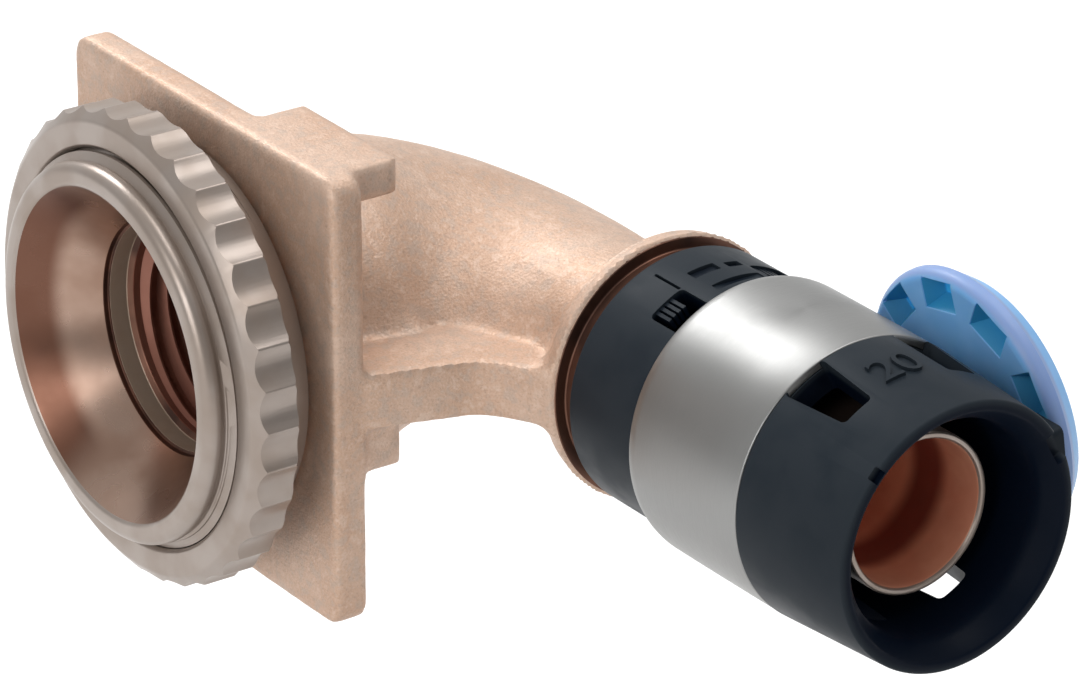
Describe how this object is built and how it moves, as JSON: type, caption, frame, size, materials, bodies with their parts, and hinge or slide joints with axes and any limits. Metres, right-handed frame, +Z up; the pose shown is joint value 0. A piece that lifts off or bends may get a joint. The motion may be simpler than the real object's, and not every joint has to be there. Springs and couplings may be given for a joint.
{
  "type": "press-connection wall elbow",
  "caption": "Cast metal elbow with a square plate, a threaded cup with a scalloped ring nut, a female tap thread, and a press socket for plastic pipe at a right angle.",
  "frame": {"origin": "on the mouth axis, in the plane of the square plate's front face", "axes": "-Y out of the threaded mouth, +X out of the pipe socket, +Z up along the plate"},
  "size_m": [0.0971, 0.06, 0.0458],
  "materials": {
    "cast_body": "sand-cast gunmetal, machined in the bores",
    "nut": "machined and tumbled",
    "sleeve": "satin stainless steel",
    "holder": "moulded, satin",
    "indicator": "moulded, slightly translucent",
    "seal": "smooth"
  },
  "bodies": {
    "fitting": {"elbow_body": "cast_body", "press_sleeve": "sleeve", "pipe_holder": "holder", "pressing_indicator": "indicator", "rear_seal_ring": "seal", "front_seal_ring": "seal"},
    "nut": {"ring_nut": "nut"}
  },
  "joints": [
    {"name": "nut_turn", "type": "hinge", "parent": "fitting", "child": "nut", "pos_m": [0, -0.006, 0], "axis": [0, -1, 0], "continuous": true}
  ]
}
